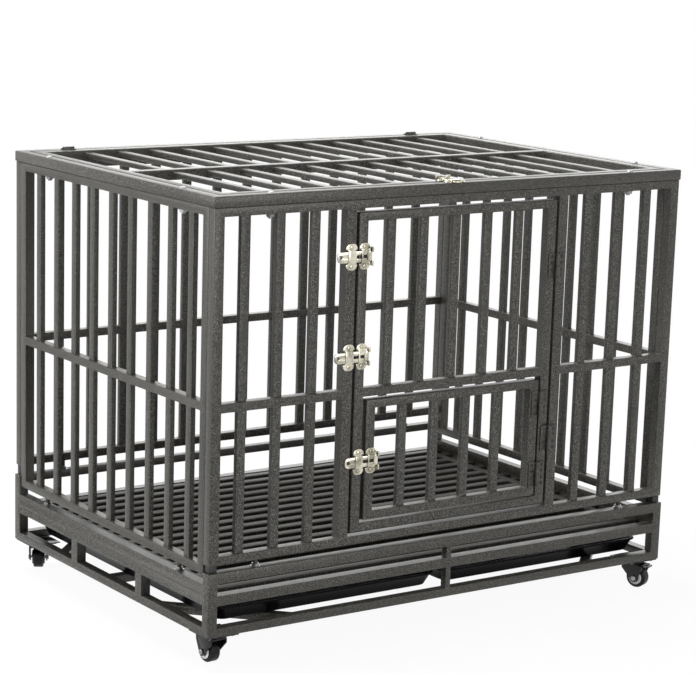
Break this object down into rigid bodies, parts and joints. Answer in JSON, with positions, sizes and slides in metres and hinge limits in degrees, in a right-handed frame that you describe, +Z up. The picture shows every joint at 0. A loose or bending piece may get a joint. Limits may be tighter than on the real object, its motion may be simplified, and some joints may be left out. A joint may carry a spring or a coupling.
{
  "type": "dog crate",
  "caption": "Barred steel dog crate on casters: side-hinged door with a feeding door in it, hinged barred lid, slatted floor, slide-out trays and slide bolts.",
  "frame": {"origin": "middle of the footprint on the floor, under the crate", "axes": "+Z up, +X along the long side to the right as seen from the front, the door faces -Y"},
  "size_m": [1.067, 0.7584, 0.8568],
  "materials": {
    "powder_coat": "hammered dark grey powder coat, satin",
    "nickel": "nickel plated steel, slightly worn",
    "tray_plastic": "black, smooth and glossy",
    "spacer_plastic": "black, matte",
    "caster_black": "black, semi-gloss",
    "wheel_rubber": "black rubber tread",
    "zinc": "zinc plated"
  },
  "bodies": {
    "root": {"top_rim": "powder_coat", "front_panel": "powder_coat", "rear_panel": "powder_coat", "left_panel": "powder_coat", "right_panel": "powder_coat", "base_frame": "powder_coat", "floor_grid": "powder_coat", "corner_spacer_front_left": "spacer_plastic", "corner_spacer_front_right": "spacer_plastic", "corner_spacer_rear_left": "spacer_plastic", "corner_spacer_rear_right": "spacer_plastic", "main_hinge_lower_fixed": "powder_coat", "main_hinge_upper_fixed": "powder_coat", "lid_hinge_left_fixed": "powder_coat", "lid_hinge_right_fixed": "powder_coat", "latch_upper_keeper": "nickel", "latch_middle_keeper": "nickel", "latch_lid_keeper": "nickel", "caster_plate_front_left": "caster_black", "caster_plate_front_right": "caster_black", "caster_plate_rear_left": "caster_black", "caster_plate_rear_right": "caster_black"},
    "main_door_body": {"main_door": "powder_coat", "main_hinge_lower_moving": "powder_coat", "main_hinge_upper_moving": "powder_coat", "feeding_hinge_lower_fixed": "powder_coat", "feeding_hinge_upper_fixed": "powder_coat", "latch_upper_guide": "nickel", "latch_middle_guide": "nickel", "latch_lower_keeper": "nickel"},
    "feeding_door_body": {"feeding_door": "powder_coat", "feeding_hinge_lower_moving": "powder_coat", "feeding_hinge_upper_moving": "powder_coat", "latch_lower_guide": "nickel"},
    "lid_body": {"lid": "powder_coat", "lid_hinge_left_moving": "powder_coat", "lid_hinge_right_moving": "powder_coat", "latch_lid_guide": "nickel"},
    "upper_bolt_body": {"latch_upper_bolt": "nickel"},
    "middle_bolt_body": {"latch_middle_bolt": "nickel"},
    "lower_bolt_body": {"latch_lower_bolt": "nickel"},
    "lid_bolt_body": {"latch_lid_bolt": "nickel"},
    "tray_left_body": {"tray_left": "tray_plastic"},
    "tray_right_body": {"tray_right": "tray_plastic"},
    "fork_front_left_body": {"caster_fork_front_left": "caster_black", "caster_axle_front_left": "zinc"},
    "fork_front_right_body": {"caster_fork_front_right": "caster_black", "caster_axle_front_right": "zinc"},
    "fork_rear_left_body": {"caster_fork_rear_left": "caster_black", "caster_axle_rear_left": "zinc"},
    "fork_rear_right_body": {"caster_fork_rear_right": "caster_black", "caster_axle_rear_right": "zinc"},
    "wheel_front_left_body": {"caster_wheel_front_left": "wheel_rubber"},
    "wheel_front_right_body": {"caster_wheel_front_right": "wheel_rubber"},
    "wheel_rear_left_body": {"caster_wheel_rear_left": "wheel_rubber"},
    "wheel_rear_right_body": {"caster_wheel_rear_right": "wheel_rubber"},
    "brake_front_left_body": {"caster_brake_front_left": "caster_black"},
    "brake_front_right_body": {"caster_brake_front_right": "caster_black"}
  },
  "joints": [
    {"name": "main_door_swing", "type": "hinge", "parent": "root", "child": "main_door_body", "pos_m": [0.22812, -0.37415, 0.5], "axis": [0, 0, 1], "range_deg": [0, 170]},
    {"name": "feeding_door_swing", "type": "hinge", "parent": "main_door_body", "child": "feeding_door_body", "pos_m": [0.20325, -0.37415, 0.34], "axis": [0, 0, -1], "range_deg": [-170, 0]},
    {"name": "lid_swing", "type": "hinge", "parent": "root", "child": "lid_body", "pos_m": [0, 0.35665, 0.8513], "axis": [-1, 0, 0], "range_deg": [0, 110]},
    {"name": "upper_bolt_slide", "type": "slide", "parent": "main_door_body", "child": "upper_bolt_body", "axis": [1, 0, 0], "range_m": [0, 0.045]},
    {"name": "middle_bolt_slide", "type": "slide", "parent": "main_door_body", "child": "middle_bolt_body", "axis": [1, 0, 0], "range_m": [0, 0.045]},
    {"name": "lower_bolt_slide", "type": "slide", "parent": "feeding_door_body", "child": "lower_bolt_body", "axis": [1, 0, 0], "range_m": [0, 0.044]},
    {"name": "lid_bolt_slide", "type": "slide", "parent": "lid_body", "child": "lid_bolt_body", "axis": [0, 1, 0], "range_m": [0, 0.027]},
    {"name": "tray_left_slide", "type": "slide", "parent": "root", "child": "tray_left_body", "axis": [0, -1, 0], "range_m": [0, 0.5]},
    {"name": "tray_right_slide", "type": "slide", "parent": "root", "child": "tray_right_body", "axis": [0, -1, 0], "range_m": [0, 0.5]},
    {"name": "swivel_front_left", "type": "hinge", "parent": "root", "child": "fork_front_left_body", "pos_m": [-0.4985, -0.33585, 0.05], "axis": [0, 0, 1], "continuous": true},
    {"name": "swivel_front_right", "type": "hinge", "parent": "root", "child": "fork_front_right_body", "pos_m": [0.4985, -0.33585, 0.05], "axis": [0, 0, 1], "continuous": true},
    {"name": "swivel_rear_left", "type": "hinge", "parent": "root", "child": "fork_rear_left_body", "pos_m": [-0.4985, 0.34415, 0.05], "axis": [0, 0, 1], "continuous": true},
    {"name": "swivel_rear_right", "type": "hinge", "parent": "root", "child": "fork_rear_right_body", "pos_m": [0.4985, 0.34415, 0.05], "axis": [0, 0, 1], "continuous": true},
    {"name": "wheel_spin_front_left", "type": "hinge", "parent": "fork_front_left_body", "child": "wheel_front_left_body", "pos_m": [-0.49955, -0.3239, 0.021], "axis": [-0.9962, -0.0872, 0], "continuous": true},
    {"name": "wheel_spin_front_right", "type": "hinge", "parent": "fork_front_right_body", "child": "wheel_front_right_body", "pos_m": [0.5028, -0.34705, 0.021], "axis": [0.9336, 0.3584, 0], "continuous": true},
    {"name": "wheel_spin_rear_left", "type": "hinge", "parent": "fork_rear_left_body", "child": "wheel_rear_left_body", "pos_m": [-0.49232, 0.35444, 0.021], "axis": [-0.8572, 0.515, 0], "continuous": true},
    {"name": "wheel_spin_rear_right", "type": "hinge", "parent": "fork_rear_right_body", "child": "wheel_rear_right_body", "pos_m": [0.50978, 0.34825, 0.021], "axis": [-0.342, 0.9397, 0], "continuous": true},
    {"name": "brake_front_left_press", "type": "hinge", "parent": "fork_front_left_body", "child": "brake_front_left_body", "pos_m": [-0.50068, -0.31095, 0.0455], "axis": [-0.9962, -0.0872, 0], "range_deg": [0, 12]},
    {"name": "brake_front_right_press", "type": "hinge", "parent": "fork_front_right_body", "child": "brake_front_right_body", "pos_m": [0.50746, -0.35919, 0.0455], "axis": [0.9336, 0.3584, 0], "range_deg": [0, 12]}
  ]
}
